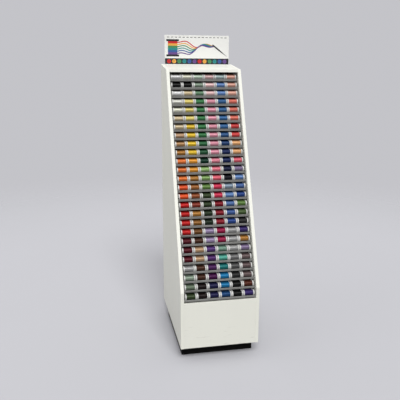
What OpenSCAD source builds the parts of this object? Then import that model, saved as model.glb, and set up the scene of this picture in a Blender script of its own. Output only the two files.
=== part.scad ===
// Floor-standing rack for spools of sewing thread, with sloped trays that feed
// the spools to the front by their own weight.
// Millimetres. X to the right, Y to the back, Z up. The origin lies on the floor
// under the middle of the cabinet. The rack is sized from the spool outwards: the
// spool sets the lanes and the trays, and these set the cabinet.

/* [Spool of thread] */
// Length over both ends
spool_len = 53; // [40:0.5:80]
// Diameter of the ends
spool_d = 29; // [22:0.5:45]
// Thickness of each end
spool_end_t = 5.5; // [4:0.1:9]
// Diameter of the core that the thread is wound on
spool_core_d = 14; // [8:0.5:16]
// Bevel on the rims of the ends
spool_bevel = 0.6; // [0.3:0.1:0.8]
// Width and depth of the groove that holds the loose end of the thread
snap_groove = 0.8; // [0.5:0.1:1.2]
// How far the full winding stays below the rims
winding_below_rim = 1.8; // [0.5:0.1:3]
// Bevel at both ends of the winding
winding_bevel = 1.2; // [0.4:0.1:2]

/* [Stock] */
// Spools side by side in a tray
lanes = 6; // [2:1:8]
// Trays one above the other
rows = 26; // [4:1:26]
// Spools that fit behind each other in a lane
spools_deep = 5; // [2:1:7]
// Spools that lie in each lane, from the lip back
spools_stocked = 2; // [1:1:2]

/* [Trays] */
// Slope at which the spools roll to the front
feed_angle = 8; // [4:0.5:12]
// Sheet of the trays
sheet_t = 1.5; // [1:0.1:2.5]
// Height of the front lip, measured from the underside
lip_h = 10; // [6:0.5:12]
// Diameter of the rolled edge on the lip
lip_bead_d = 3.2; // [2.6:0.1:4.5]
// Height of the stop at the rear of a tray
rear_stop_h = 7; // [4:0.5:12]
// Height of the pressed ribs between the lanes, above the tray's floor
rib_h = 2; // [1.5:0.5:6]
// Thickness of those ribs
rib_t = 1.2; // [0.8:0.1:2.5]
// Room between a spool and the tray above it
head_room = 6.1; // [4:0.1:20]

/* [Runners] */
// Wall of the runner channels
runner_wall = 1.2; // [0.8:0.1:2]
// How far the edge of a tray reaches into its runner
runner_grip = 2.9; // [2:0.1:6]
// How far the runners start behind the front of a tray
runner_start = 3; // [3:0.5:12]
// Thickness of the stop at the rear of a runner
runner_stop_t = 2.4; // [1.2:0.1:5]

/* [Cabinet] */
// Lean of the front face from the upright
face_angle = 22.6; // [12:0.1:28]
// Thickness of the side, front and deck boards
board_t = 16; // [13:0.5:25]
// Thickness of the top board
top_t = 12; // [11:0.5:22]
// Thickness of the back panel
back_t = 6; // [3:0.5:10]
// How far the back panel laps onto each side panel
back_lap = 9.5; // [5:0.5:12]
// Height of the front panel below the trays
front_panel_h = 226; // [120:1:400]
// How far the front panel stands behind the edges of the sides
front_panel_recess = 1; // [0.5:0.5:6]
// How far the lowest lip stands behind the edges of the sides
lip_inset = 5; // [3:0.5:15]
// How far the lips stand behind the sloped edges of the sides
tray_setback = 24; // [16:0.5:40]
// Extra room between the uppermost spools and the top board
top_room = 7; // [0:0.5:40]
// Room between the rear of the uppermost tray and the back panel
rear_space = 38.8; // [10:0.1:80]

/* [Base] */
// Height of the plinth
plinth_h = 65; // [40:1:120]
// Thickness of the plinth boards
plinth_t = 18; // [15:0.5:25]
// How far the plinth stands in from each side of the cabinet
plinth_side_inset = 14; // [5:0.5:15]
// How far it stands in from the front
plinth_front_inset = 64; // [20:1:100]
// How far it stands in from the rear
plinth_rear_inset = 89; // [20:1:120]

/* [Header sign] */
// Height of the sign above the cabinet
sign_h = 146; // [80:1:250]
// Thickness of the sign
sign_t = 4; // [3:0.1:8]
// Distance from each end of the sign to the side panel
sign_margin = 2; // [1.5:0.5:40]
// Distance from the rear of the cabinet to the sign
sign_inset = 10; // [7:0.5:40]
// Depth of the slot that the sign stands in
slot_depth = 8; // [5:0.5:9]

/* [Clearances] */
// Between a spool and what it lies on
seat_gap = 0.3; // [0.2:0.05:0.6]
// Between the edge of a tray and its runner, above and below
slide_gap = 0.3; // [0.2:0.05:0.6]
// Between the end of a tray's edge and the wall of its runner
edge_gap = 0.4; // [0.3:0.05:1]
// Between a spool and the ribs at its ends
lane_gap = 0.7; // [0.3:0.05:1.5]
// Between an outer rib and the runner beside it
rib_gap = 0.8; // [0.4:0.1:2]
// Between the ends of a lip and the side panels
lip_gap = 1; // [0.5:0.1:3]
// Between the front panel and the lowest tray
panel_gap = 8; // [2.8:0.1:10]
// Between the winding and its spool
winding_gap = 0.15; // [0.1:0.05:0.3]
// Between the sign and its slot
slot_gap = 0.3; // [0.2:0.05:0.6]
// Between the boards of the base
joint_gap = 0.2; // [0.1:0.05:0.5]

/* [Hidden] */
$fn = 48;

// Lanes and tray, across
lane_pitch = spool_len + 2 * lane_gap + rib_t;
ribs_w = lanes * lane_pitch + rib_t;
runner_gap_w = ribs_w + 2 * rib_gap;
tray_w = runner_gap_w + 2 * runner_grip;
inner_w = tray_w + 2 * (edge_gap + runner_wall);
cabinet_w = inner_w + 2 * board_t;
lip_w = inner_w - 2 * lip_gap;

// Tray, front to rear along its slope
spool_step = spool_d + seat_gap;
tray_len = 2 * sheet_t + spools_deep * spool_step + seat_gap;
spool_y = sheet_t + seat_gap + spool_d / 2;
spool_z = sheet_t + seat_gap + spool_d / 2;

// From one tray to the next: square to the trays, upwards and backwards
tray_space = sheet_t + seat_gap + spool_d + head_room;
row_rise = tray_space / (cos(feed_angle) - tan(face_angle) * sin(feed_angle));
row_run = row_rise * tan(face_angle);

// Lowest and uppermost tray, at the underside of the lip, from the front and the floor
first_y = lip_inset;
first_z = plinth_h + front_panel_h + panel_gap;
last_y = first_y + (rows - 1) * row_run;
last_z = first_z + (rows - 1) * row_rise;

// Cabinet: the face bends at the knee, and the top lies parallel to the trays
knee_z = first_z + (tray_setback - lip_inset) / tan(face_angle);
cabinet_d = last_y + tray_len * cos(feed_angle) + rear_space + back_t;
under_z0 = last_z - last_y * tan(feed_angle) + (tray_space + top_room) / cos(feed_angle);
top_z0 = under_z0 + top_t / cos(feed_angle);
body_h = top_z0 + cabinet_d * tan(feed_angle);

// Where a plane parallel to the trays, at height z0 above the front, meets the face
function face_y(z0) =
    (z0 - knee_z) * tan(face_angle) / (1 - tan(feed_angle) * tan(face_angle));
function slope_z(z0, y) = z0 + y * tan(feed_angle);

back_y = cabinet_d - back_t;
back_top_z = slope_z(under_z0, back_y);
deck_y = front_panel_recess + board_t;
plinth_w = cabinet_w - 2 * plinth_side_inset;
plinth_rear_y = cabinet_d - plinth_rear_inset;
sign_w = inner_w - 2 * sign_margin;
sign_y = cabinet_d - sign_inset - sign_t;
slot_z = slope_z(top_z0, sign_y) - slot_depth;
// Long enough to cut through whatever it is taken from
cut = 1;

// Thread shades down each lane, from the top: [shade, number of spools]
lane_runs = [
    [["white", 1], ["black", 1], ["whitesmoke", 2], ["ivory", 2], ["wheat", 2],
     ["palegoldenrod", 1], ["darkgoldenrod", 1], ["orange", 2], ["darkorange", 2],
     ["orangered", 1], ["red", 2], ["crimson", 2], ["maroon", 3], ["mistyrose", 1],
     ["darkkhaki", 2], ["darkolivegreen", 1]],
    [["ivory", 1], ["black", 1], ["palegoldenrod", 1], ["gold", 5], ["goldenrod", 4],
     ["peru", 1], ["sienna", 1], ["saddlebrown", 2], ["peru", 1], ["sienna", 1],
     ["#42210f", 2], ["tan", 2], ["saddlebrown", 2], ["#42210f", 1], ["#1d140f", 1]],
    [["darkseagreen", 1], ["mediumseagreen", 4], ["green", 3], ["darkgreen", 3],
     ["darkkhaki", 1], ["yellowgreen", 2], ["darkolivegreen", 2], ["#12301c", 2],
     ["thistle", 1], ["plum", 1], ["mediumpurple", 1], ["rebeccapurple", 2],
     ["purple", 2], ["midnightblue", 1]],
    [["rosybrown", 1], ["lightpink", 4], ["pink", 1], ["hotpink", 3], ["deeppink", 3],
     ["crimson", 4], ["palevioletred", 1], ["maroon", 1], ["mediumvioletred", 1],
     ["purple", 1], ["aquamarine", 1], ["turquoise", 1], ["teal", 1], ["skyblue", 2],
     ["royalblue", 1]],
    [["steelblue", 2], ["royalblue", 4], ["navy", 6], ["#0b1026", 1], ["lightblue", 2],
     ["cornflowerblue", 2], ["royalblue", 1], ["seashell", 1], ["whitesmoke", 2],
     ["silver", 1], ["slategray", 1], ["#2a2d2c", 1], ["black", 2]],
    [["peru", 1], ["peachpuff", 1], ["coral", 4], ["red", 2], ["navajowhite", 1],
     ["orange", 1], ["palevioletred", 1], ["plum", 1], ["lightblue", 2],
     ["royalblue", 1], ["forestgreen", 1], ["darkgreen", 1], ["#2a2d2c", 1],
     ["indigo", 1], ["darkgoldenrod", 1], ["thistle", 1], ["peru", 2],
     ["sandybrown", 1], ["brown", 1], ["purple", 1]]
];

// The shade of a given row, counted along the runs of its lane
function shade_in(runs, row, i = 0) =
    i == len(runs) ? "white"
    : row < runs[i][1] ? runs[i][0]
    : shade_in(runs, row - runs[i][1], i + 1);
function thread_shade(lane, row) = shade_in(lane_runs[lane % len(lane_runs)], row);

// Names of the rows, numbered from the top
function row_name(kind, row) = str(kind, "_", row < 9 ? "0" : "", row + 1);
tray_names = [for (row = [0 : rows - 1]) row_name("tray", row)];
spool_names = [for (row = [0 : rows - 1]) row_name("spools", row)];

// Moves the cabinet's front, where the sizes above start, to its place in the frame
module cabinet_frame() {
    translate([0, -cabinet_d / 2, 0]) children();
}

// The frame of one tray: Y up its slope from the lip, Z square to its floor
module row_frame(row) {
    cabinet_frame()
        translate([0, last_y - row * row_run, last_z - row * row_rise])
            rotate([feed_angle, 0, 0]) children();
}

// Sweeps an outline of Y and Z across a width, centred on X
module across(width) {
    translate([-width / 2, 0, 0]) rotate([90, 0, 90]) linear_extrude(width) children();
}

// A side panel, standing with its inner face at X = 0 and its thickness towards +X
module side_panel() {
    top_y = face_y(top_z0);
    cabinet_frame() difference() {
        rotate([90, 0, 90]) linear_extrude(board_t) polygon([
            [0, plinth_h],
            [0, knee_z],
            [top_y, slope_z(top_z0, top_y)],
            [cabinet_d, body_h],
            [cabinet_d, plinth_h]
        ]);
        // Rebate for the back panel
        translate([-cut, back_y, plinth_h - cut])
            cube([back_lap + cut, back_t + cut, back_top_z - plinth_h + cut]);
    }
}

module left_side_panel() {
    color("whitesmoke") mirror([1, 0, 0]) translate([inner_w / 2, 0, 0]) side_panel();
}

module right_side_panel() {
    color("whitesmoke") translate([inner_w / 2, 0, 0]) side_panel();
}

module back_panel() {
    back_w = inner_w + 2 * back_lap;
    color("gainsboro") cabinet_frame()
        translate([-back_w / 2, back_y, plinth_h])
            cube([back_w, back_t, back_top_z - plinth_h]);
}

module top_panel() {
    under_y = face_y(under_z0);
    top_y = face_y(top_z0);
    slot_w = sign_w + 2 * slot_gap;
    color("white") cabinet_frame() difference() {
        across(inner_w) polygon([
            [under_y, slope_z(under_z0, under_y)],
            [top_y, slope_z(top_z0, top_y)],
            [cabinet_d, body_h],
            [cabinet_d, slope_z(under_z0, cabinet_d)]
        ]);
        // Slot that the sign stands in
        translate([-slot_w / 2, sign_y - slot_gap, slot_z])
            cube([slot_w, sign_t + 2 * slot_gap, body_h - slot_z]);
    }
}

module lower_front_panel() {
    color("white") cabinet_frame()
        translate([-inner_w / 2, front_panel_recess, plinth_h])
            cube([inner_w, board_t, front_panel_h]);
}

// The deck of the cabinet and the four boards of the plinth under it
module base_plinth() {
    board_h = plinth_h - joint_gap;
    side_y = plinth_front_inset + plinth_t + joint_gap;
    side_len = plinth_rear_y - plinth_t - joint_gap - side_y;
    color("black") cabinet_frame() {
        translate([-inner_w / 2, deck_y, plinth_h])
            cube([inner_w, back_y - deck_y, board_t]);
        for (y = [plinth_front_inset, plinth_rear_y - plinth_t])
            translate([-plinth_w / 2, y, 0]) cube([plinth_w, plinth_t, board_h]);
        for (x = [-plinth_w / 2, plinth_w / 2 - plinth_t])
            translate([x, side_y, 0]) cube([plinth_t, side_len, board_h]);
    }
}

// A channel on the right side panel that one edge of a tray slides in
module runner() {
    channel_w = (inner_w - runner_gap_w) / 2;
    slot_h = sheet_t + 2 * slide_gap;
    slot_len = tray_len + seat_gap - runner_start;
    translate([runner_gap_w / 2, runner_start, -slide_gap]) difference() {
        translate([0, 0, -runner_wall])
            cube([channel_w, slot_len + runner_stop_t, slot_h + 2 * runner_wall]);
        translate([-cut, -cut, 0])
            cube([channel_w - runner_wall + cut, slot_len + cut, slot_h]);
    }
}

module tray_runners() {
    color("silver") for (row = [0 : rows - 1]) row_frame(row) {
        runner();
        mirror([1, 0, 0]) runner();
    }
}

module header_sign() {
    sign_z = slot_z + slot_gap;
    color("ivory") cabinet_frame()
        translate([-sign_w / 2, sign_y, sign_z])
            cube([sign_w, sign_t, body_h + sign_h - sign_z]);
}

// A tray: floor, lip with a rolled edge, rear stop and the ribs between its lanes
module tray(row) {
    bead_r = lip_bead_d / 2;
    color("darkgray") row_frame(row) union() {
        across(tray_w) square([tray_len, sheet_t]);
        across(lip_w) {
            square([sheet_t, lip_h - bead_r]);
            translate([sheet_t - bead_r, lip_h - bead_r]) circle(bead_r);
        }
        across(ribs_w) translate([tray_len - sheet_t, 0]) square([sheet_t, rear_stop_h]);
        for (k = [0 : lanes])
            translate([(k - lanes / 2) * lane_pitch, 0, 0])
                across(rib_t) square([tray_len, sheet_t + rib_h]);
    }
}

// One end of a spool: radius and distance from the spool's middle, from rim to core
function spool_end_outline() =
    let (r = spool_d / 2, outer = spool_len / 2, inner = outer - spool_end_t,
         groove_z = outer - spool_end_t / 2)
    [
        [r - spool_bevel, outer],
        [r, outer - spool_bevel],
        [r, groove_z + snap_groove / 2],
        [r - snap_groove, groove_z + snap_groove / 2],
        [r - snap_groove, groove_z - snap_groove / 2],
        [r, groove_z - snap_groove / 2],
        [r, inner + spool_bevel],
        [r - spool_bevel, inner],
        [spool_core_d / 2, inner]
    ];

// The bare spool, with its axis along Z
module spool_body() {
    upper = spool_end_outline();
    lower = [for (i = [len(upper) - 1 : -1 : 0]) [upper[i][0], -upper[i][1]]];
    rotate_extrude() polygon(concat(
        [[0, spool_len / 2]], upper, lower, [[0, -spool_len / 2]]));
}

// The thread on it
module winding() {
    r = spool_d / 2 - winding_below_rim;
    inner_r = spool_core_d / 2 + winding_gap;
    half = spool_len / 2 - spool_end_t - winding_gap;
    rotate_extrude() polygon([
        [inner_r, -half],
        [r - winding_bevel, -half],
        [r, winding_bevel - half],
        [r, half - winding_bevel],
        [r - winding_bevel, half],
        [inner_r, half]
    ]);
}

// The spools of one tray, each lying across its lane, the first ones against the lip
module spools(row) {
    row_frame(row) for (lane = [0 : lanes - 1], behind = [0 : spools_stocked - 1])
        translate([
            (lane - (lanes - 1) / 2) * lane_pitch, spool_y + behind * spool_step, spool_z
        ])
            rotate([0, 90, 0]) {
                color("white") spool_body();
                color(thread_shade(lane, row)) winding();
            }
}

left_side_panel();
right_side_panel();
back_panel();
top_panel();
lower_front_panel();
base_plinth();
tray_runners();
header_sign();
for (row = [0 : rows - 1]) {
    tray(row);
    spools(row);
}
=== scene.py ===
"""Looks of a floor-standing rack for spools of sewing thread.

The boards, trays and runners are the frame's own nodes, with rounded edges and a finish each. The spools
with their thread, the edge bands, the screws of the back and the print on the sign are built here."""
import math
import random

import bmesh
import bpy
from bpy.props import FloatProperty, FloatVectorProperty, IntProperty, PointerProperty
from bpy.types import Operator, Panel, PropertyGroup
from mathutils import Matrix, Vector


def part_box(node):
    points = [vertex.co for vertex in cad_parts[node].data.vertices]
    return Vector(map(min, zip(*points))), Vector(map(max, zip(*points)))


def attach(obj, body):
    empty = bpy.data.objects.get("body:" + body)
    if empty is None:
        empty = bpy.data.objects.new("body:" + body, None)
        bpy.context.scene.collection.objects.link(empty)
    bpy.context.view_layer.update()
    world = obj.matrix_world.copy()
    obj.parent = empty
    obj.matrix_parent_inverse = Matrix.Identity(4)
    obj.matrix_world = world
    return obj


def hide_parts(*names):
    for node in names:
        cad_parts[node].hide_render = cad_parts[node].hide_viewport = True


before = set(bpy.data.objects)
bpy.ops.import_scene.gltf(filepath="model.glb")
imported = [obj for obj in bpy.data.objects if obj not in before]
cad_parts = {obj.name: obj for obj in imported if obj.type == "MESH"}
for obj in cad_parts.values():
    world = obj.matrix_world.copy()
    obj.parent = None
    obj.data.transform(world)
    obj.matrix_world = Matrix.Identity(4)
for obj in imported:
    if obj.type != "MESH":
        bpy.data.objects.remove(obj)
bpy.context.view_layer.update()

bl_info = {
    "name": "Thread spool rack",
    "version": (1, 0, 0),
    "blender": (4, 5, 0),
    "location": "3D View > Sidebar > Thread rack",
    "description": "Finishes the boards, trays, spools and sign of a thread spool rack",
    "category": "Object",
}

MM = 0.001
CABINET_BOARDS = ("left_side_panel", "right_side_panel", "top_panel", "lower_front_panel")
TRAY_NODES = sorted(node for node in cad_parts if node.startswith("tray_") and node[5:].isdigit())
SPOOL_NODES = sorted(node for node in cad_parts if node.startswith("spools_"))

# Random choices: their seed, how light a thread is, where its loose end starts in degrees
RANDOM_SEED = 26
SHADE_SPREAD = (0.94, 1.06)
TAIL_START = (45, 100)

# A screw head: its dome from the seat up, then its cross, as shares of its radius and height
SCREW_SIDES = 12
SCREW_DOME = ((1.0, 0.0), (1.0, 0.30), (0.93, 0.62), (0.78, 0.88), (0.58, 1.0))
CROSS_REACH = 0.50
CROSS_TAPER = 0.8
CROSS_FLOOR = 0.45

# The sign's print: sides of a disc, steps of a drawn thread, how far its wave lags behind the one above in
# radians, and the stitches' spacing and start, as shares of their length and their spacing
DISC_SIDES = 24
THREAD_STEPS = 48
WAVE_LAG = 0.35
STITCH_SPACING = 1.6
STITCH_START = 0.2

# The floor: its sides, its rings and where it fades out, as shares of its radius
FLOOR_SIDES = 96
FLOOR_RINGS = (0.0, 0.25, 0.5, 1.0)
FLOOR_FADE = (0.35, 0.95)
SENSOR_WIDTH = 36.0

# Thread shades in the usual screen notation, in even steps
SHADES = {
    "white": "f0f0f0", "cream": "f0f0e0", "ecru": "e0d0b0", "tan": "d0b090", "lemon": "f0e090",
    "yellow": "f0d050", "gold": "f0b050", "bronze": "c09050", "orange": "f09050", "flame": "f07040",
    "red": "d03030", "wine": "702030", "brick": "a05040", "rust": "704030", "brown": "604030",
    "coffee": "302020", "taupe": "807070", "mint": "d0e0d0", "sage": "a0b0a0", "green": "509060",
    "pine": "205040", "light_green": "b0d090", "moss": "80a060", "olive": "506040",
    "dark_green": "304030", "seafoam": "90b0a0", "turquoise": "70c0b0", "teal": "309090",
    "ice_blue": "c0d0d0", "grey_blue": "a0b0c0", "sky_blue": "80a0d0", "steel_blue": "5080b0",
    "cerulean": "3090c0", "blue": "306090", "royal_blue": "4060a0", "navy": "304070", "ink": "202030",
    "lilac": "b0a0c0", "mauve": "a090b0", "violet": "504080", "purple": "705090", "plum": "602060",
    "indigo": "303060", "blush": "f0d0d0", "pink": "f0b0c0", "rose": "f08090", "raspberry": "e05070",
    "magenta": "b03060", "crimson": "a03040", "peach": "f0c0b0", "apricot": "f0c090", "coral": "f09080",
    "coral_red": "e06060", "silver": "c0c0c0", "grey": "909090", "charcoal": "404040", "black": "202020",
}

# Shades down each lane from the top; x is how many rows share a run, > blends it from one shade to another
LANE_SHADES = (
    "white, black, white > cream x3, ecru x2, tan > bronze x3, orange x3, flame x2, red x4, wine x3, "
    "silver, sage > olive x3",
    "cream, black, ecru, lemon x3, yellow x4, gold x2, bronze > brick x4, bronze > brown x4, tan x2, "
    "brown x2, coffee x2",
    "mint, sage > green x3, green x3, green > pine x4, light_green > moss x3, olive > dark_green x4, "
    "lilac x2, purple > plum x4, indigo x2",
    "blush x3, pink x6, pink > rose x4, raspberry x2, crimson x3, magenta x2, seafoam, turquoise > teal x2, "
    "cerulean x2, blue",
    "ice_blue, sky_blue x2, steel_blue x3, steel_blue > navy x4, navy > ink x3, grey_blue, "
    "sky_blue > royal_blue x4, silver x3, grey > charcoal x3, black x2",
    "peach x3, coral x3, coral_red x2, apricot x2, rose, mauve, sky_blue > royal_blue x3, "
    "moss > charcoal x3, violet, bronze, mauve > taupe x2, taupe x2, rust, violet",
)

# Stripes of the spool drawn on the sign, from its top
SIGN_SHADES = ("red", "gold", "green", "teal", "royal_blue", "purple")


def linear_colour(hex_code):
    """The linear colour of a six-digit screen colour."""
    screen = [int(hex_code[i:i + 2], 16) / 255 for i in (0, 2, 4)]
    return tuple(c / 12.92 if c <= 0.04045 else ((c + 0.055) / 1.055) ** 2.4 for c in screen)


def spelled_out(runs):
    """Two shades for each row in a lane, and the share of the second, from its runs."""
    rows = []
    for run in runs.split(", "):
        names, _, amount = run.partition(" x")
        first, _, last = names.partition(" > ")
        steps = int(amount or 1)
        rows += [(first, last or first, k / max(steps - 1, 1)) for k in range(steps)]
    return rows


def length(name, description, millimetres):
    return FloatProperty(name=name, description=description, default=millimetres * MM, min=0.0, unit="LENGTH")


def colour(name, description, default):
    return FloatVectorProperty(
        name=name, description=description, default=default, size=3, min=0.0, max=1.0, subtype="COLOR")


def angle(name, description, degrees):
    return FloatProperty(name=name, description=description, default=math.radians(degrees), unit="ROTATION")


def place(name, description, default):
    return FloatVectorProperty(name=name, description=description, default=default, size=3, subtype="XYZ")


def number(name, description, default):
    return FloatProperty(name=name, description=description, default=default, min=0.0)


def count(name, description, default):
    return IntProperty(name=name, description=description, default=default, min=3)


class CabinetSettings(PropertyGroup):
    board_bevel: length("Board bevel", "Rounding of the boards' edges", 0.5)
    band_thickness: length("Band thickness", "Thickness of the edge bands on the boards", 0.6)
    band_bevel: length("Band bevel", "Rounding of the edge bands", 0.2)
    board_colour: colour("Board colour", "White of the cabinet's boards", (0.80, 0.80, 0.735))
    # Painted shade: the strip is the boards' own white laminate, painted darker against the light that falls
    # on it
    strip_shaded_colour: colour("Strip colour", "White of the strip above the trays", (0.70, 0.70, 0.645))
    back_colour: colour("Back colour", "White of the back panel's outer face", (0.71, 0.71, 0.655))
    # Painted shade: the raw inner face of the back is a real brown, made dark to darken the inside of the
    # cabinet
    raw_and_shade_colour: colour("Raw colour", "Brown of the back panel's raw inner face", (0.085, 0.052, 0.032))
    raw_and_shade_depth: length("Raw depth", "Depth of the raw brown from the inner face", 4)
    plinth_colour: colour("Plinth colour", "Black of the plinth boards", (0.003, 0.003, 0.0032))
    scuff_colour: colour("Scuff colour", "Grey of the scuffs near the floor", (0.42, 0.40, 0.36))
    scuff_height: length("Scuff height", "How far the scuffs reach up from the plinth", 180)
    dust_height: length("Dust height", "How far the dust reaches up the plinth", 30)


class ScrewSettings(PropertyGroup):
    head_diameter: length("Head diameter", "Diameter of the screw heads on the back", 7)
    head_height: length("Head height", "Height of the screw heads", 1.8)
    edge_distance: length("Edge distance", "From the sides of the back panel to the screws", 4.75)
    end_distance: length("End distance", "From its top and foot to the nearest screws", 19)
    per_side: count("Screws per side", "Screws up each side of the back", 6)
    metal_colour: colour("Metal colour", "Zinc of the screws", (0.66, 0.66, 0.64))


class TraySettings(PropertyGroup):
    sheet_bevel: length("Sheet bevel", "Rounding of the trays' sheet edges", 0.3)
    tray_colour: colour("Tray colour", "Grey powder coat of the trays", (0.27, 0.27, 0.26))
    runner_colour: colour("Runner colour", "Bare metal of the runners", (0.60, 0.60, 0.59))


class SpoolSettings(PropertyGroup):
    spool_length: length("Spool length", "Length over both ends", 53)
    spool_diameter: length("Spool diameter", "Diameter of the ends", 29)
    end_thickness: length("End thickness", "Thickness of each end", 5.5)
    core_diameter: length("Core diameter", "Diameter of the core under the thread", 14)
    rim_bevel: length("Rim bevel", "Bevel on the rims of the ends", 0.6)
    groove: length("Snap groove", "Width and depth of the groove that holds the loose thread", 0.8)
    rim_width: length("Rim width", "Width of the raised rim on an end's face", 2.6)
    hub_diameter: length("Hub diameter", "Diameter of the raised hub on an end's face", 11)
    face_recess: length("Face recess", "Depth of the face between hub and rim", 1.4)
    pin_diameter: length("Pin hole", "Diameter of the blind hole in the hub", 6)
    pin_depth: length("Pin depth", "Depth of the blind hole in the hub", 7)
    below_rim: length("Below the rim", "How far the winding stays below the rims", 1.8)
    end_gap: length("End gap", "Between the winding and the spool's ends", 0.15)
    winding_round: length("Winding round", "Rounding at both ends of the winding", 1.2)
    winding_ripple: length("Winding ripple", "How far the winding sinks along its length", 0.14)
    ripples: count("Ripples", "Places along the winding that may sink", 9)
    strand_pitch: length("Strand pitch", "From one strand of thread to the next", 0.6)
    strand_lean: count("Strand lean", "Strands that one turn leans across", 24)
    layer_pitch: length("Layer pitch", "From one pair of crossing layers to the next", 8.5)
    layer_lean: count("Layer lean", "Pairs of layers that one turn leans across", 3)
    tail_thickness: length("Tail thickness", "Thickness of the loose end tucked into the groove", 0.4)
    tail_sides: count("Tail sides", "Sides of the loose end", 5)
    shade_level: number("Shade level", "How light the thread is against its named shade", 0.75)
    segments: count("Segments", "Sides of the round forms", 28)
    plastic_colour: colour("Plastic colour", "White plastic of the spools", (0.65, 0.65, 0.635))


class ThreadShades(PropertyGroup):
    __annotations__ = {
        shade: colour(shade.replace("_", " ").capitalize(), "Colour of this thread", linear_colour(code))
        for shade, code in SHADES.items()
    }


class SignSettings(PropertyGroup):
    board_bevel: length("Sign bevel", "Rounding of the sign's edges", 0.4)
    ink_thickness: length("Ink thickness", "Thickness of one printed layer", 0.06)
    margin: length("Margin", "From the sign's edge to its print", 9)
    band_inset: length("Band inset", "From the sign's sides to the dark band along its foot", 1)
    band_height: length("Band height", "Height of that band", 30)
    button_diameter: length("Button diameter", "Diameter of the printed buttons on that band", 21)
    button_hole: length("Button hole", "Diameter of the four holes in a button", 3)
    stitch_length: length("Stitch length", "Length of the printed stitches along the top", 12)
    stitch_width: length("Stitch width", "Width of those stitches", 3)
    spool_width: length("Drawn spool width", "Width of the drawn spool", 66)
    flange_height: length("Drawn flange height", "Height of each end of the drawn spool", 10)
    flange_overhang: length("Drawn overhang", "How far those ends stand out past the stripes", 8)
    thread_width: length("Thread width", "Width of the drawn threads", 5)
    wave_height: length("Wave height", "Height of the waves of the drawn threads", 15)
    needle_width: length("Needle width", "Width of the drawn needle", 8)
    needle_span: length("Needle span", "From the needle's eye to the right edge of the print", 70)
    eye_rise: length("Eye rise", "How far the eye stands above the middle of the print", 10)
    eye_distance: length("Eye distance", "From the eye to the needle's blunt end", 14)
    ink_colour: colour("Ink colour", "Dark ink of the print", (0.03, 0.03, 0.035))
    board_colour: colour("Sign colour", "White of the sign's board", (0.86, 0.86, 0.83))


class StageSettings(PropertyGroup):
    camera_place: place("Camera place", "Where the camera stands, in metres", (-0.5531, -2.5714, 1.3324))
    camera_turn: angle("Camera turn", "Turn of the camera to the right of straight ahead", 11.30)
    camera_tilt: angle("Camera tilt", "Tilt of the camera below the horizon", 13.38)
    camera_roll: angle("Camera roll", "Roll of the camera about its own axis", 0.23)
    lens: number("Lens", "Focal length in millimetres on a 36 mm sensor", 48.39)
    backdrop_colour: colour("Backdrop colour", "Pale grey behind the rack", (0.55, 0.55, 0.58))
    floor_colour: colour("Floor colour", "Pale grey of the floor", (0.49, 0.49, 0.52))
    bounce_colour: colour("Bounce colour", "Grey of the light that the floor throws back", (0.24, 0.24, 0.23))
    floor_radius: number("Floor radius", "Radius of the floor in metres", 5.0)
    sky_strength: number("Sky strength", "Soft light from straight above", 0.70)
    horizon_strength: number("Horizon strength", "Soft light from the front", 0.16)
    back_strength: number("Back strength", "Soft light from behind", 0.70)
    key_strength: number("Key strength", "Strength of the far lamp above the front", 2.6)
    key_height: angle("Key height", "Height of that lamp above the horizon", 49)
    key_turn: angle("Key turn", "Turn of that lamp to the right of the front", -2)
    key_spread: angle("Key spread", "Apparent width of that lamp", 30)
    fill_strength: number("Fill strength", "Strength of the far lamp low on the left", 0.58)
    fill_height: angle("Fill height", "Height of that lamp above the horizon", 8)
    fill_turn: angle("Fill turn", "Turn of that lamp to the right of the front", -75)
    fill_spread: angle("Fill spread", "Apparent width of that lamp", 40)


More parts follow.
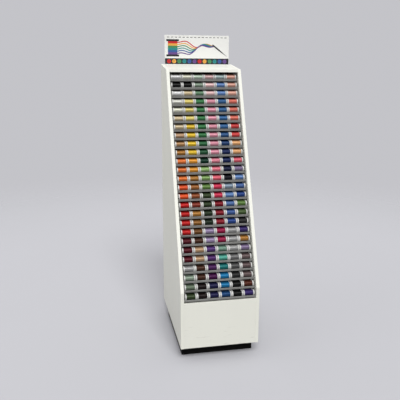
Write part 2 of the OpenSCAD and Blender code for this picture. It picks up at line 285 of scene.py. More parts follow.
class Wire:
    """A socket of a node tree. Arithmetic on wires adds Math nodes to that tree."""

    def __init__(self, tree, socket=None):
        self.tree = tree
        self.socket = socket

    def node(self, kind, settings=None, inputs=None, output=0):
        """Adds a node, sets it up, feeds its sockets and returns the wire from one of its outputs."""
        made = self.tree.nodes.new(kind)
        for key, value in (settings or {}).items():
            setattr(made, key, value)
        for key, value in (inputs or {}).items():
            if isinstance(value, Wire):
                self.tree.links.new(value.socket, made.inputs[key])
            else:
                made.inputs[key].default_value = value
        return Wire(self.tree, made.outputs[output])

    def output(self, name):
        """Another output of the node that this wire leaves."""
        return Wire(self.tree, self.socket.node.outputs[name])

    def maths(self, operation, *values):
        return self.node("ShaderNodeMath", {"operation": operation}, dict(enumerate(values)))

    def __add__(self, other):
        return self.maths("ADD", self, other)

    def __sub__(self, other):
        return self.maths("SUBTRACT", self, other)

    def __rsub__(self, other):
        return self.maths("SUBTRACT", other, self)

    def __mul__(self, other):
        return self.maths("MULTIPLY", self, other)

    __radd__ = __add__
    __rmul__ = __mul__

    def sine(self):
        return self.maths("SINE", self)

    def step(self, low, high):
        """0 below low, 1 above high, and a smooth rise between them."""
        return self.node(
            "ShaderNodeMapRange", {"interpolation_type": "SMOOTHSTEP"},
            {"Value": self, "From Min": low, "From Max": high})

    def mixed(self, first, second):
        """Two colours mixed by this wire: the first at 0, the second at 1."""
        return self.node("ShaderNodeMix", {"data_type": "RGBA"}, {0: self, 6: first, 7: second}, 2)

    def toned(self, rgb, first, second):
        """One colour at two levels, mixed by this wire."""
        return self.mixed(opaque(rgb, first), opaque(rgb, second))

    def part(self, axis):
        """One part of this vector."""
        return self.node("ShaderNodeSeparateXYZ", None, {0: self}, axis)

    def stretched(self, x, y, z):
        """This vector with its three parts scaled."""
        return self.node("ShaderNodeVectorMath", {"operation": "MULTIPLY"}, {0: self, 1: (x, y, z)})

    def levelled(self, level):
        """This colour made lighter or darker."""
        return self.node("ShaderNodeVectorMath", {"operation": "SCALE"}, {0: self, "Scale": level})

    def noise(self, scale, detail):
        return self.node(
            "ShaderNodeTexNoise", None, {"Vector": self, "Scale": scale, "Detail": detail}, "Fac")


def opaque(rgb, level=1.0):
    """A colour with its alpha, for a node's socket."""
    return (rgb[0] * level, rgb[1] * level, rgb[2] * level, 1.0)


def start_finish(name, gloss=0.5, metal=0.0, rough=0.5):
    """A new material with its fixed shader values, and the wire of its object coordinates."""
    material = bpy.data.materials.new(name)
    material.use_nodes = True
    shader = material.node_tree.nodes["Principled BSDF"]
    for socket, value in (("Specular IOR Level", gloss), ("Metallic", metal), ("Roughness", rough)):
        shader.inputs[socket].default_value = value
    at = Wire(material.node_tree).node("ShaderNodeTexCoord", output="Object")
    return material, at


def end_finish(material, base, rough, height, strength, distance):
    """Feeds a material's colour and roughness, and its bump from a height."""
    shader = material.node_tree.nodes["Principled BSDF"]
    bump = height.node(
        "ShaderNodeBump", None, {"Height": height, "Strength": strength, "Distance": distance})
    for socket, wire in (("Base Color", base), ("Roughness", rough), ("Normal", bump)):
        material.node_tree.links.new(wire.socket, shader.inputs[socket])
    return material


def melamine(settings):
    """White laminate with a faint mottle and scuffs near the floor."""
    material, at = start_finish("melamine_white", gloss=0.45)
    mottle = at.noise(2.6, 4.0)
    pebble = at.noise(900.0, 1.0)
    plinth_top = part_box("left_side_panel")[0].z
    low = 1 - at.part("Z").step(plinth_top, plinth_top + settings.scuff_height)
    scuffs = at.stretched(1, 1, 5).noise(16.0, 6.0).step(0.60, 0.74) * low
    streaks = at.stretched(9, 9, 0.7).noise(6.0, 3.0)
    white = (mottle * 0.7 + streaks * 0.3).toned(settings.board_colour, 1.03, 0.95)
    base = (scuffs * 0.35).mixed(white, opaque(settings.scuff_colour))
    rough = 0.30 + mottle * 0.14 + scuffs * 0.2 + pebble * 0.05
    return end_finish(material, base, rough, pebble, 0.10, 0.25 * MM)


def edge_band_finish(name, rgb):
    """Smooth white plastic edging, dulled where it is handled."""
    material, at = start_finish(name, gloss=0.25)
    ripple = at.stretched(1, 0.25, 0.25).noise(260.0, 2.0)
    handled = at.noise(5.0, 5.0).step(0.48, 0.75)
    base = (handled * 0.5 + ripple * 0.2).toned(rgb, 1.01, 0.94)
    rough = 0.46 + handled * 0.14 + ripple * 0.05
    return end_finish(material, base, rough, ripple, 0.08, 0.2 * MM)


def hardboard(settings):
    """Hardboard with a white outer face and a dark raw brown inner face, kept dark as painted shade inside
    the cabinet, and fine fibres in both.
    """
    material, at = start_finish("back_hardboard", gloss=0.35)
    fibres = at.stretched(1, 1, 2.4).noise(240.0, 5.0)
    clouds = at.noise(3.2, 4.0)
    specks = at.noise(420.0, 1.0).step(0.70, 0.78)
    white = (clouds * 0.6 + fibres * 0.4).toned(settings.back_colour, 1.05, 0.90)
    faced = (specks * 0.25).mixed(white, opaque(settings.scuff_colour))
    # Raw brown inner face, dark enough to act as painted shade inside the cabinet
    raw = fibres.toned(settings.raw_and_shade_colour, 1.25, 0.75)
    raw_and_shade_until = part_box("back_panel")[0].y + settings.raw_and_shade_depth
    base = at.part("Y").step(raw_and_shade_until, raw_and_shade_until + 0.5 * MM).mixed(raw, faced)
    rough = 0.50 + fibres * 0.2
    return end_finish(material, base, rough, fibres, 0.22, 0.3 * MM)


def plinth_laminate(settings):
    """Black laminate, dusty and scuffed at the floor, with the white deck above it."""
    material, at = start_finish("plinth_black", gloss=0.06)
    above_floor = at.part("Z")
    deck_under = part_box("lower_front_panel")[0].z
    deck = above_floor.step(deck_under - 0.2 * MM, deck_under - 0.1 * MM)
    dust = (1 - above_floor.step(0.0, settings.dust_height)) * at.noise(60.0, 5.0)
    kicks = at.stretched(1, 1, 6).noise(20.0, 6.0).step(0.58, 0.70)
    grain = at.noise(700.0, 2.0)
    black = (dust * 0.03 + kicks * 0.015).mixed(
        opaque(settings.plinth_colour), opaque(settings.scuff_colour))
    base = deck.mixed(black, opaque(settings.board_colour, 0.95))
    rough = 0.36 + kicks * 0.15 + dust * 0.3 + grain * 0.06
    return end_finish(material, base, rough, grain, 0.12, 0.2 * MM)


def powder_coat(settings):
    """Grey powder coat with a fine orange peel and rubbed patches."""
    material, at = start_finish("tray_powder_coat")
    peel = at.noise(1100.0, 1.0)
    patches = at.noise(14.0, 5.0)
    rubbed = at.stretched(3, 1, 1).noise(45.0, 4.0).step(0.60, 0.75)
    grey = patches.toned(settings.tray_colour, 1.06, 0.92)
    base = (rubbed * 0.3).mixed(grey, opaque(settings.tray_colour, 1.35))
    rough = 0.40 + peel * 0.12 - rubbed * 0.1
    return end_finish(material, base, rough, peel, 0.18, 0.3 * MM)


def drawn_metal(name, rgb, stretch):
    """Bare metal with drawing marks along one direction."""
    material, at = start_finish(name, metal=1.0)
    marks = at.stretched(*stretch).noise(300.0, 4.0)
    dull = at.noise(40.0, 4.0)
    base = (marks * 0.6 + dull * 0.4).toned(rgb, 1.10, 0.82)
    rough = 0.28 + marks * 0.16 + dull * 0.10
    return end_finish(material, base, rough, marks, 0.10, 0.2 * MM)


def moulded_plastic(settings):
    """White moulded plastic with faint flow marks and handling."""
    material, at = start_finish("spool_plastic")
    flow = at.stretched(0.6, 1, 1).noise(90.0, 4.0)
    touch = at.noise(600.0, 2.0)
    base = flow.toned(settings.plastic_colour, 1.03, 0.94)
    rough = 0.26 + flow * 0.10 + touch * 0.08
    return end_finish(material, base, rough, touch, 0.06, 0.2 * MM)


def own_shade(at):
    """The colour that each point of a mesh carries."""
    return at.node("ShaderNodeAttribute", {"attribute_name": "thread_shade"}, None, "Color")


def satin_thread(settings):
    """Satin thread in crossing layers of strands, in each spool's own shade, with painted shade in the
    grooves between strands.
    """
    material, at = start_finish("satin_thread", gloss=0.2, metal=0.3)
    shade = at.node("ShaderNodeGamma", None, {"Color": own_shade(at), "Gamma": 1.25})
    turn = at.node("ShaderNodeUVMap", {"uv_map": "winding"}).part("X")
    along = turn.output("Y")
    strands = along * (2 * math.pi / settings.strand_pitch)
    lean = turn * (2 * math.pi * settings.strand_lean)
    layers = along * (2 * math.pi / settings.layer_pitch) + turn * (2 * math.pi * settings.layer_lean)
    over = layers.sine().step(-0.35, 0.35)
    relief = ((strands + lean).sine() * over + (strands - lean).sine() * (1 - over)) * 0.5 + 0.5
    uneven = at.stretched(1.6, 1, 1).noise(170.0, 3.0)
    # Painted shade and light: darker in the grooves between strands, lighter on their crests, mixed with
    # random unevenness of the dye
    base = (relief * 0.55 + uneven * 0.45).mixed(shade.levelled(0.62), shade.levelled(1.16))
    rough = 0.38 - relief * 0.12 + uneven * 0.06
    return end_finish(material, base, rough, relief, 0.30, 0.18 * MM)


def sign_stock(settings):
    """White sign board with a fine paper face."""
    material, at = start_finish("sign_board", gloss=0.45)
    fibres = at.stretched(1, 1, 1.6).noise(500.0, 3.0)
    clouds = at.noise(7.0, 3.0)
    base = (clouds * 0.6 + fibres * 0.4).toned(settings.board_colour, 1.03, 0.95)
    rough = 0.34 + fibres * 0.12 + clouds * 0.06
    return end_finish(material, base, rough, fibres, 0.06, 0.2 * MM)


def printed_ink():
    """Printed film in its own colours, with the slight unevenness of ink."""
    material, at = start_finish("sign_ink")
    shade = own_shade(at)
    mottle = at.noise(260.0, 4.0)
    base = mottle.mixed(shade, shade.levelled(0.88))
    rough = 0.28 + mottle * 0.12
    return end_finish(material, base, rough, mottle, 0.05, 0.1 * MM)


def turns(sides, start=0.0):
    """Even angles all the way round."""
    return [start + 2 * math.pi * k / sides for k in range(sides)]


def ahead_at(path, i):
    """Which way a path runs at one of its points."""
    return path[min(i + 1, len(path) - 1)] - path[max(i - 1, 0)]


class Draft:
    """Points, faces, shades and map places, gathered for one mesh."""

    def __init__(self):
        self.points = []
        self.faces = []
        self.shades = []
        self.maps = []
        self.shade = (1.0, 1.0, 1.0)

    def ring(self, points):
        first = len(self.points)
        self.points += points
        self.shades += [self.shade] * len(points)
        return list(range(first, len(self.points)))

    def face(self, corners, spots=None):
        self.faces.append(corners)
        self.maps += spots or [(0.0, 0.0)] * len(corners)

    def bridge(self, near, far, heights=(0.0, 0.0)):
        """Joins two rings of as many points, or a ring and a single point, all the way round."""
        sides = max(len(near), len(far))
        low, high = heights
        for k in range(sides):
            left, right = k / sides, (k + 1) / sides
            corners = [(near[k % len(near)], (left, low)), (near[(k + 1) % len(near)], (right, low)),
                       (far[(k + 1) % len(far)], (right, high)), (far[k % len(far)], (left, high))]
            if len(near) == 1:
                del corners[1]
            elif len(far) == 1:
                del corners[3]
            self.face([c[0] for c in corners], [c[1] for c in corners])

    def join(self, rings):
        """Joins each ring to the next and closes both ends, unless an end is a single point."""
        for near, far in zip(rings, rings[1:]):
            self.bridge(near, far)
        for end in (rings[0][::-1], rings[-1]):
            if len(end) > 1:
                self.face(end)

    def lathe(self, profile, to_place, sides, closed=False):
        """Turns a profile of (distance along the axis, radius) round the local Z axis."""
        rings = []
        for along, radius in profile:
            around = turns(sides) if radius > 0 else [0.0]
            rings.append(self.ring(
                [to_place @ Vector((radius * math.cos(a), radius * math.sin(a), along)) for a in around]))
        for i in range(len(rings) if closed else len(rings) - 1):
            after = (i + 1) % len(rings)
            self.bridge(rings[i], rings[after], (profile[i][0], profile[after][0]))

    def tube(self, path, axis_point, radius, sides):
        """A strand along a path of points, kept upright to an axis along X through a point."""
        rings = []
        for i, spot in enumerate(path):
            ahead = ahead_at(path, i)
            outward = spot - axis_point
            outward.x = 0.0
            across = ahead.cross(outward).normalized()
            outward = across.cross(ahead).normalized()
            rings.append(self.ring(
                [spot + radius * (math.cos(a) * outward + math.sin(a) * across) for a in turns(sides)]))
        self.join(rings)

    def film(self, outline, face_y, thickness):
        """A flat film on the front of the sign, from its outline of (x, z)."""
        self.join([self.ring([Vector((x, y, z)) for x, z in outline]) for y in (face_y, face_y - thickness)])

    def build(self, name, material, smooth_below=None):
        """The gathered mesh as an object of the scene."""
        mesh = bpy.data.meshes.new(name)
        mesh.from_pydata(self.points, [], self.faces)
        layer = mesh.uv_layers.new(name="winding")
        layer.uv.foreach_set("vector", [part for spot in self.maps for part in spot])
        shades = mesh.attributes.new("thread_shade", "FLOAT_COLOR", "POINT")
        shades.data.foreach_set("color", [part for rgb in self.shades for part in (*rgb, 1.0)])
        shell = bmesh.new()
        shell.from_mesh(mesh)
        bmesh.ops.recalc_face_normals(shell, faces=shell.faces)
        shell.to_mesh(mesh)
        shell.free()
        if smooth_below is not None:
            mesh.shade_smooth()
            mesh.set_sharp_from_angle(angle=math.radians(smooth_below))
        mesh.materials.append(material)
        made = bpy.data.objects.new(name, mesh)
        bpy.context.scene.collection.objects.link(made)
        return made


def settle(piece, body, slot, *nodes):
    """Makes a piece ride on a body and hides the nodes that it stands for; its slot is not used."""
    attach(piece, body)
    if nodes:
        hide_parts(*nodes)


def dress(node, material):
    """Gives a node of the frame its finish."""
    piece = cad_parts[node]
    if not piece.material_slots:
        piece.data.materials.append(material)
    for slot in piece.material_slots:
        slot.material = material
    return piece


def round_edges(piece, width, weld=True):
    """Rounds the sharp edges of a piece."""
    if weld:
        piece.modifiers.new("weld", "WELD").merge_threshold = 0.002 * MM
    bevel = piece.modifiers.new("bevel", "BEVEL")
    bevel.width = width
    bevel.segments = 2
    bevel.limit_method = "ANGLE"
    bevel.angle_limit = math.radians(30)
    bevel.harden_normals = True


def outline_of(node, x):
    """Corners of a board's face at one X, as (y, z), clockwise seen from +X, from the front bottom up."""
    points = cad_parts[node].data.vertices
    corners = {(round(p.co.y, 6), round(p.co.z, 6)) for p in points if abs(p.co.x - x) < 0.01 * MM}
    mid_y = sum(c[0] for c in corners) / len(corners)
    mid_z = sum(c[1] for c in corners) / len(corners)
    ordered = sorted(corners, key=lambda c: -math.atan2(c[1] - mid_z, c[0] - mid_y))
    first = ordered.index(min(corners, key=lambda c: (round(c[1], 4), c[0])))
    return ordered[first:] + ordered[:first]


def edge_band(name, path, low_x, high_x, settings, material):
    """A strip glued along a path of (y, z), standing out to the left of the path."""
    spots = [Vector(spot) for spot in path]
    legs = [(b - a).normalized() for a, b in zip(spots, spots[1:])]
    draft = Draft()
    rings = []
    for i, spot in enumerate(spots):
        before = legs[max(i - 1, 0)]
        after = legs[min(i, len(legs) - 1)]
        out = Vector((-before.y - after.y, before.x + after.x)).normalized()
        out *= settings.band_thickness / (out @ Vector((-after.y, after.x)))
        outer = spot + out
        rings.append(draft.ring([
            Vector((low_x, spot.x, spot.y)), Vector((high_x, spot.x, spot.y)),
            Vector((high_x, outer.x, outer.y)), Vector((low_x, outer.x, outer.y))]))
    draft.join(rings)
    band = draft.build(name, material)
    round_edges(band, settings.band_bevel, weld=False)
    settle(band, "cabinet", "cabinet_white")


def screw_head(draft, to_place, settings):
    """A domed head with a cross recess; its sides match the corners of the cross."""
    radius = settings.head_diameter / 2
    height = settings.head_height
    half_side = math.pi / SCREW_SIDES
    around = turns(SCREW_SIDES, -half_side)
    arm = CROSS_REACH * radius
    notch = arm * math.sin(half_side) * math.sqrt(2)
    cross = [notch if k % 3 == 2 else arm for k in range(SCREW_SIDES)]

    def ring(reaches, up):
        return draft.ring([to_place @ Vector((reach * math.cos(a), reach * math.sin(a), up * height))
                           for reach, a in zip(reaches, around)])

    rings = [ring([share * radius] * SCREW_SIDES, up) for share, up in SCREW_DOME]
    rings.append(ring(cross, 1.0))
    rings.append(ring([CROSS_TAPER * reach for reach in cross], CROSS_FLOOR))
    rings.append(ring([0.0], CROSS_FLOOR))
    draft.join(rings)


def spool_profile(settings):
    """A bare spool from one end to the other, as (distance along the axis, radius)."""
    radius = settings.spool_diameter / 2
    outer = settings.spool_length / 2
    inner = outer - settings.end_thickness
    recess = outer - settings.face_recess
    groove_at = outer - settings.end_thickness / 2
    groove_floor = radius - settings.groove
    groove_half = settings.groove / 2
    floor_half = groove_half * 0.6
    pin = settings.pin_diameter / 2
    hub = settings.hub_diameter / 2
    rim = radius - settings.rim_width
    slope = settings.face_recess * 0.2
    bevel = settings.rim_bevel
    end = [
        (outer - settings.pin_depth, 0.0), (outer - settings.pin_depth, pin), (outer, pin), (outer, hub),
        (recess, hub + slope), (recess, rim - slope), (outer, rim), (outer, radius - bevel),
        (outer - bevel, radius), (groove_at + groove_half, radius), (groove_at + floor_half, groove_floor),
        (groove_at - floor_half, groove_floor), (groove_at - groove_half, radius),
        (inner + bevel, radius), (inner, radius - bevel), (inner, settings.core_diameter / 2),
    ]
    return end + [(-along, reach) for along, reach in reversed(end)]


def winding_profile(settings, chance):
    """A winding from one end to the other, with uneven layers, as (distance along the axis, radius)."""
    half = settings.spool_length / 2 - settings.end_thickness - settings.end_gap
    full = settings.spool_diameter / 2 - settings.below_rim
    core = settings.core_diameter / 2 + settings.end_gap
    flat = half - settings.winding_round
    shoulder = 0.3 * settings.winding_round
    end = [(half, core), (half, full - settings.winding_round), (half - shoulder, full - shoulder),
           (flat, full)]
    sunk = [settings.winding_ripple * chance.random() for _ in range(settings.ripples)]
    middle = [(flat * (1 - 2 * (i + 1) / (settings.ripples + 1)), full - sunk[i])
              for i in range(settings.ripples)]
    return end + middle + [(-along, reach) for along, reach in reversed(end)]


def tail_path(settings, centre, start):
    """The loose end of the thread: off the winding, over the rim and round in the snap groove."""
    radius = settings.spool_diameter / 2
    inner = settings.spool_length / 2 - settings.end_thickness
    groove_at = inner + settings.end_thickness / 2
    winding = radius - settings.below_rim
    thick = settings.tail_thickness / 2
    in_groove = radius - settings.groove + thick
    # Each spot is a distance along the axis, a radius and an angle past the start
    spots = [(inner - 4.0 * MM, winding, 0.0), (inner - 1.4 * MM, winding + thick, 0.10),
             (inner - 0.3 * MM, radius - 0.2 * MM, 0.15), (inner + 0.6 * MM, radius + thick, 0.19),
             (groove_at - settings.groove, radius + thick, 0.24), (groove_at, in_groove + thick, 0.30)]
    spots += [(groove_at, in_groove, 0.36 + 0.12 * k) for k in range(12)]
    return [centre + Vector((x, r * math.cos(start + a), r * math.sin(start + a))) for x, r, a in spots]


class RACK_OT_finish_boards(Operator):
    """Round and finish the boards of the cabinet and glue on their edge bands"""
    bl_idname = "rack.finish_boards"
    bl_label = "Finish boards"

    def execute(self, context):
        settings = context.scene.rack_cabinet
        white = melamine(settings)
        for node in CABINET_BOARDS:
            round_edges(dress(node, white), settings.board_bevel)
        round_edges(dress("back_panel", hardboard(settings)), settings.board_bevel)
        round_edges(dress("base_plinth", plinth_laminate(settings)), settings.board_bevel)
        edging = edge_band_finish("edge_band_white", settings.board_colour)
        # Painted shade: the strip's band gets a darker copy of the boards' white, for the light that falls on
        # it
        strip = edge_band_finish("strip_band_white", settings.strip_shaded_colour)
        inset = settings.board_bevel
        for side in ("left", "right"):
            node = f"{side}_side_panel"
            low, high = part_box(node)
            outer_x = low.x if side == "left" else high.x
            path = outline_of(node, outer_x)[:4]
            edge_band(f"{side}_edge_band", path, low.x + inset, high.x - inset, settings, edging)
        low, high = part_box("top_panel")
        front = sorted(outline_of("top_panel", low.x))[:2]
        edge_band("top_edge_band", front, low.x, high.x, settings, strip)
        low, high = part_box("lower_front_panel")
        top = [(low.y + inset, high.z), (high.y - inset, high.z)]
        edge_band("lower_panel_edge_band", top, low.x, high.x, settings, edging)
        return {"FINISHED"}


class RACK_OT_drive_screws(Operator):
    """Drive the screws that hold the back panel"""
    bl_idname = "rack.drive_screws"
    bl_label = "Drive screws"

    def execute(self, context):
        settings = context.scene.rack_screws
        low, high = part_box("back_panel")
        lowest = low.z + settings.end_distance
        step = (high.z - settings.end_distance - lowest) / (settings.per_side - 1)
        chance = random.Random(RANDOM_SEED)
        draft = Draft()
        for x in (low.x + settings.edge_distance, high.x - settings.edge_distance):
            for k in range(settings.per_side):
                turned = Matrix.Rotation(math.radians(chance.uniform(0, 90)), 4, "Y")
                outward = turned @ Matrix.Rotation(-math.pi / 2, 4, "X")
                screw_head(draft, Matrix.Translation((x, high.y, lowest + step * k)) @ outward, settings)
        zinc = drawn_metal("screw_zinc", settings.metal_colour, (1, 1, 1))
        screws = draft.build("back_screws", zinc, smooth_below=32)
        settle(screws, "cabinet", "runner_metal")
        return {"FINISHED"}


class RACK_OT_finish_trays(Operator):
    """Finish the trays and their runners"""
    bl_idname = "rack.finish_trays"
    bl_label = "Finish trays"

    def execute(self, context):
        settings = context.scene.rack_trays
        grey = powder_coat(settings)
        for node in TRAY_NODES:
            round_edges(dress(node, grey), settings.sheet_bevel)
        dress("tray_runners", drawn_metal("runner_metal", settings.runner_colour, (3, 0.05, 3)))
        return {"FINISHED"}


class RACK_OT_wind_spools(Operator):
    """Mould the spools and wind them with thread"""
    bl_idname = "rack.wind_spools"
    bl_label = "Wind spools"

    def execute(self, context):
        settings = context.scene.rack_spools
        shades = context.scene.rack_shades
        lanes = [spelled_out(runs) for runs in LANE_SHADES]
        if any(len(lane) != len(SPOOL_NODES) for lane in lanes):
            raise RuntimeError("each lane needs a shade for each row of spools")
        plastic = moulded_plastic(settings)
        thread = satin_thread(settings)
        chance = random.Random(RANDOM_SEED)
        along_x = Matrix(((0, 0, 1, 0), (1, 0, 0, 0), (0, 1, 0, 0), (0, 0, 0, 1)))
        reach = Vector((settings.spool_length, settings.spool_diameter, settings.spool_diameter)) / 2
        for row, node in enumerate(SPOOL_NODES):
            low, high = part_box(node)
            front, rear = low + reach, high - reach
            bodies = Draft()
            windings = Draft()
            for lane, shades_down in enumerate(lanes):
                light = settings.shade_level * chance.uniform(*SHADE_SPREAD)
                first, last, share = shades_down[row]
                blend = Vector(getattr(shades, first)).lerp(Vector(getattr(shades, last)), share)
                windings.shade = tuple(light * blend)
                for row_end in (front, rear):
                    centre = row_end.copy()
                    centre.x = front.x + (rear.x - front.x) * lane / (len(lanes) - 1)
                    to_place = Matrix.Translation(centre) @ along_x
                    bodies.lathe(spool_profile(settings), to_place, settings.segments)
                    windings.lathe(
                        winding_profile(settings, chance), to_place, settings.segments, closed=True)
                    tail = tail_path(settings, centre, math.radians(chance.uniform(*TAIL_START)))
                    windings.tube(tail, centre, settings.tail_thickness / 2, settings.tail_sides)
            number_of_row = node[len("spools_"):]
            ends = bodies.build(f"spool_bodies_{number_of_row}", plastic, smooth_below=35)
            settle(ends, node, "thread_spools", node)
            wound = windings.build(f"thread_{number_of_row}", thread, smooth_below=50)
            settle(wound, node, "thread_spools", node)
        return {"FINISHED"}


class RACK_OT_print_sign(Operator):
    """Finish the header sign and print its spool, threads, needle, stitches and buttons"""
    bl_idname = "rack.print_sign"
    bl_label = "Print sign"

    def execute(self, context):
        settings = context.scene.rack_sign
        shades = context.scene.rack_shades
        round_edges(dress("header_sign", sign_stock(settings)), settings.board_bevel)
        low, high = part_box("header_sign")
        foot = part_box("left_side_panel")[1].z
        ink = settings.ink_colour
        threads = [getattr(shades, name) for name in SIGN_SHADES]
        draft = Draft()

        def film(outline, rgb, layer=1):
            draft.shade = tuple(rgb)
            draft.film(outline, low.y, layer * settings.ink_thickness)

        def bar(x0, x1, z0, z1, rgb):
            film([(x0, z0), (x1, z0), (x1, z1), (x0, z1)], rgb)

        def disc(centre, diameter, rgb, layer):
            spoke = Vector((diameter / 2, 0.0))
            film([centre + Matrix.Rotation(a, 2) @ spoke for a in turns(DISC_SIDES)], rgb, layer)

        def ribbon(path, width, rgb, layer):
            sides = []
            for i, spot in enumerate(path):
                ahead = ahead_at(path, i)
                across = Vector((-ahead.y, ahead.x)).normalized() * width / 2
                sides.append((spot - across, spot + across))
            for (a, b), (c, d) in zip(sides, sides[1:]):
                film((a, c, d, b), rgb, layer)

        left, right = low.x + settings.margin, high.x - settings.margin
        band_top = foot + settings.band_height
        bottom, top = band_top + settings.margin, high.z - settings.margin
        inset = settings.band_inset
        bar(low.x + inset, high.x - inset, foot + inset / 2, band_top, ink)
        buttons = 2 * len(threads)
        step = (right - left) / buttons
        for k in range(buttons):
            centre = Vector((left + (k + 0.5) * step, (foot + band_top) / 2))
            disc(centre, settings.button_diameter, threads[k % len(threads)], 2)
            for x, z in ((-1, -1), (-1, 1), (1, -1), (1, 1)):
                disc(centre + Vector((x, z)) * settings.button_hole, settings.button_hole, ink, 3)
        stitches = int((right - left) / (settings.stitch_length * STITCH_SPACING))
        step = (right - left) / stitches
        for k in range(stitches):
            x0 = left + (k + STITCH_START) * step
            bar(x0, x0 + settings.stitch_length, top - settings.stitch_width, top, ink)
        top -= settings.stitch_width + settings.margin
        spool_right = left + settings.spool_width
        for z0 in (bottom, top - settings.flange_height):
            bar(left, spool_right, z0, z0 + settings.flange_height, ink)
        wound_left, wound_right = left + settings.flange_overhang, spool_right - settings.flange_overhang
        stripe = (top - bottom - 2 * settings.flange_height) / len(threads)
        eye = Vector((right - settings.needle_span, (bottom + top) / 2 + settings.eye_rise))
        for k, rgb in enumerate(threads):
            z0 = top - settings.flange_height - (k + 1) * stripe
            bar(wound_left, wound_right, z0, z0 + stripe, rgb)
            start = Vector((wound_right, z0 + stripe / 2))
            path = []
            for i in range(THREAD_STEPS + 1):
                share = i / THREAD_STEPS
                drawn_in = share * share * (3 - 2 * share)
                wave = math.sin(math.pi * share) * math.sin(3 * math.pi * share + WAVE_LAG * k)
                path.append(Vector((start.x + (eye.x - start.x) * share,
                                    start.lerp(eye, drawn_in).y + settings.wave_height * wave)))
            ribbon(path, settings.thread_width, rgb, 2 + k)
        tip = Vector((right, bottom))
        back = eye + (eye - tip).normalized() * settings.eye_distance
        across = (tip - back).orthogonal().normalized() * settings.needle_width / 2
        slim = across * 0.8
        shoulder = back.lerp(tip, 0.06)
        shank = back.lerp(tip, 0.5)
        film((back, shoulder - across, shank - slim, tip, shank + slim, shoulder + across),
             ink, 2 + len(threads))
        settle(draft.build("sign_print", printed_ink()), "sign", "sign_board")
        return {"FINISHED"}


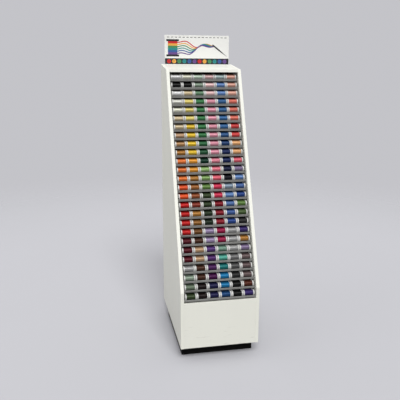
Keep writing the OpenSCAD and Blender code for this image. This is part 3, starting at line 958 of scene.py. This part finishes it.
class RACK_OT_set_stage(Operator):
    """Lay the floor, light the studio and set up the camera"""
    bl_idname = "rack.set_stage"
    bl_label = "Set stage"

    def execute(self, context):
        settings = context.scene.rack_stage
        self.lay_floor(settings)
        self.light_world(context.scene, settings)
        self.hang_far_lamp(context.scene, "key", settings)
        self.hang_far_lamp(context.scene, "fill", settings)
        self.stand_camera(context.scene, settings)
        context.scene.view_settings.view_transform = "Standard"
        return {"FINISHED"}

    def lay_floor(self, settings):
        """A flat disc that fades into the backdrop, and throws back less light than it shows."""
        draft = Draft()
        radius = settings.floor_radius
        draft.lathe([(0.0, radius * share) for share in FLOOR_RINGS], Matrix(), FLOOR_SIDES)
        material, at = start_finish("studio_floor", gloss=0.2, rough=0.9)
        pale = at.noise(1.5, 2.0).toned(settings.floor_colour, 1.01, 0.99)
        ray = at.node("ShaderNodeLightPath", output="Is Camera Ray")
        seen = ray.maths("MAXIMUM", ray, ray.output("Is Glossy Ray"))
        base = seen.mixed(opaque(settings.bounce_colour), pale)
        nodes = material.node_tree.nodes
        links = material.node_tree.links
        links.new(base.socket, nodes["Principled BSDF"].inputs["Base Color"])
        reach = at.node("ShaderNodeVectorMath", {"operation": "LENGTH"}, {0: at}, "Value")
        fade = reach.step(*[radius * share for share in FLOOR_FADE])
        clear = at.node("ShaderNodeBsdfTransparent")
        shaded = Wire(material.node_tree, nodes["Principled BSDF"].outputs[0])
        shown = at.node("ShaderNodeMixShader", None, {0: fade, 1: shaded, 2: clear})
        links.new(shown.socket, nodes["Material Output"].inputs["Surface"])
        draft.build("floor", material)

    def light_world(self, scene, settings):
        """Soft light from above and behind, and the plain backdrop that the camera sees."""
        world = bpy.data.worlds.new("studio")
        world.use_nodes = True
        scene.world = world
        start = Wire(world.node_tree)
        up = start.node("ShaderNodeTexCoord", output="Generated").part("Z")
        behind = up.output("Y").step(-0.2, 0.8)
        around = settings.horizon_strength + behind * (settings.back_strength - settings.horizon_strength)
        strength = around + up.step(0.0, 1.0) * (settings.sky_strength - around)
        soft = start.node("ShaderNodeBackground", None, {"Color": (1, 1, 1, 1), "Strength": strength})
        paper = start.node(
            "ShaderNodeBackground", None, {"Color": opaque(settings.backdrop_colour), "Strength": 1.0})
        ray = start.node("ShaderNodeLightPath", output="Is Camera Ray")
        seen = ray.maths("MAXIMUM", ray, ray.output("Is Transmission Ray"))
        mixed = start.node("ShaderNodeMixShader", None, {0: seen, 1: soft, 2: paper})
        surface = world.node_tree.nodes["World Output"].inputs["Surface"]
        world.node_tree.links.new(mixed.socket, surface)

    def hang_far_lamp(self, scene, name, settings):
        lamp = bpy.data.lights.new(name, "SUN")
        lamp.energy = getattr(settings, f"{name}_strength")
        lamp.angle = getattr(settings, f"{name}_spread")
        down = math.pi / 2 - getattr(settings, f"{name}_height")
        hung = bpy.data.objects.new(name, lamp)
        hung.rotation_euler = (down, 0.0, getattr(settings, f"{name}_turn"))
        scene.collection.objects.link(hung)

    def stand_camera(self, scene, settings):
        turned = Matrix.Rotation(-settings.camera_turn, 4, "Z")
        tilted = Matrix.Rotation(math.pi / 2 - settings.camera_tilt, 4, "X")
        rolled = Matrix.Rotation(settings.camera_roll, 4, "Z")
        lens = bpy.data.cameras.new("camera")
        lens.sensor_width = SENSOR_WIDTH
        lens.lens = settings.lens
        camera = bpy.data.objects.new("camera", lens)
        camera.matrix_world = Matrix.Translation(settings.camera_place) @ turned @ tilted @ rolled
        scene.collection.objects.link(camera)
        scene.camera = camera


GROUPS = {
    "rack_cabinet": CabinetSettings,
    "rack_screws": ScrewSettings,
    "rack_trays": TraySettings,
    "rack_spools": SpoolSettings,
    "rack_shades": ThreadShades,
    "rack_sign": SignSettings,
    "rack_stage": StageSettings,
}
OPERATORS = (
    RACK_OT_finish_boards,
    RACK_OT_drive_screws,
    RACK_OT_finish_trays,
    RACK_OT_wind_spools,
    RACK_OT_print_sign,
    RACK_OT_set_stage,
)


class RACK_PT_sidebar(Panel):
    """Sizes and colours of the rack, and the steps that make it"""
    bl_idname = "RACK_PT_sidebar"
    bl_label = "Thread spool rack"
    bl_space_type = "VIEW_3D"
    bl_region_type = "UI"
    bl_category = "Thread rack"

    def draw(self, context):
        layout = self.layout
        for operator in OPERATORS:
            layout.operator(operator.bl_idname)
        for group, settings in GROUPS.items():
            box = layout.box()
            box.label(text=group.replace("rack_", "").capitalize())
            for name in settings.__annotations__:
                box.prop(getattr(context.scene, group), name)


CLASSES = (*GROUPS.values(), *OPERATORS, RACK_PT_sidebar)


def register():
    for kind in CLASSES:
        bpy.utils.register_class(kind)
    for group, settings in GROUPS.items():
        setattr(bpy.types.Scene, group, PointerProperty(type=settings))


def unregister():
    for group in GROUPS:
        delattr(bpy.types.Scene, group)
    for kind in reversed(CLASSES):
        bpy.utils.unregister_class(kind)


def main():
    register()
    bpy.ops.rack.finish_boards()
    bpy.ops.rack.drive_screws()
    bpy.ops.rack.finish_trays()
    bpy.ops.rack.wind_spools()
    bpy.ops.rack.print_sign()
    bpy.ops.rack.set_stage()


if __name__ == "__main__":
    main()
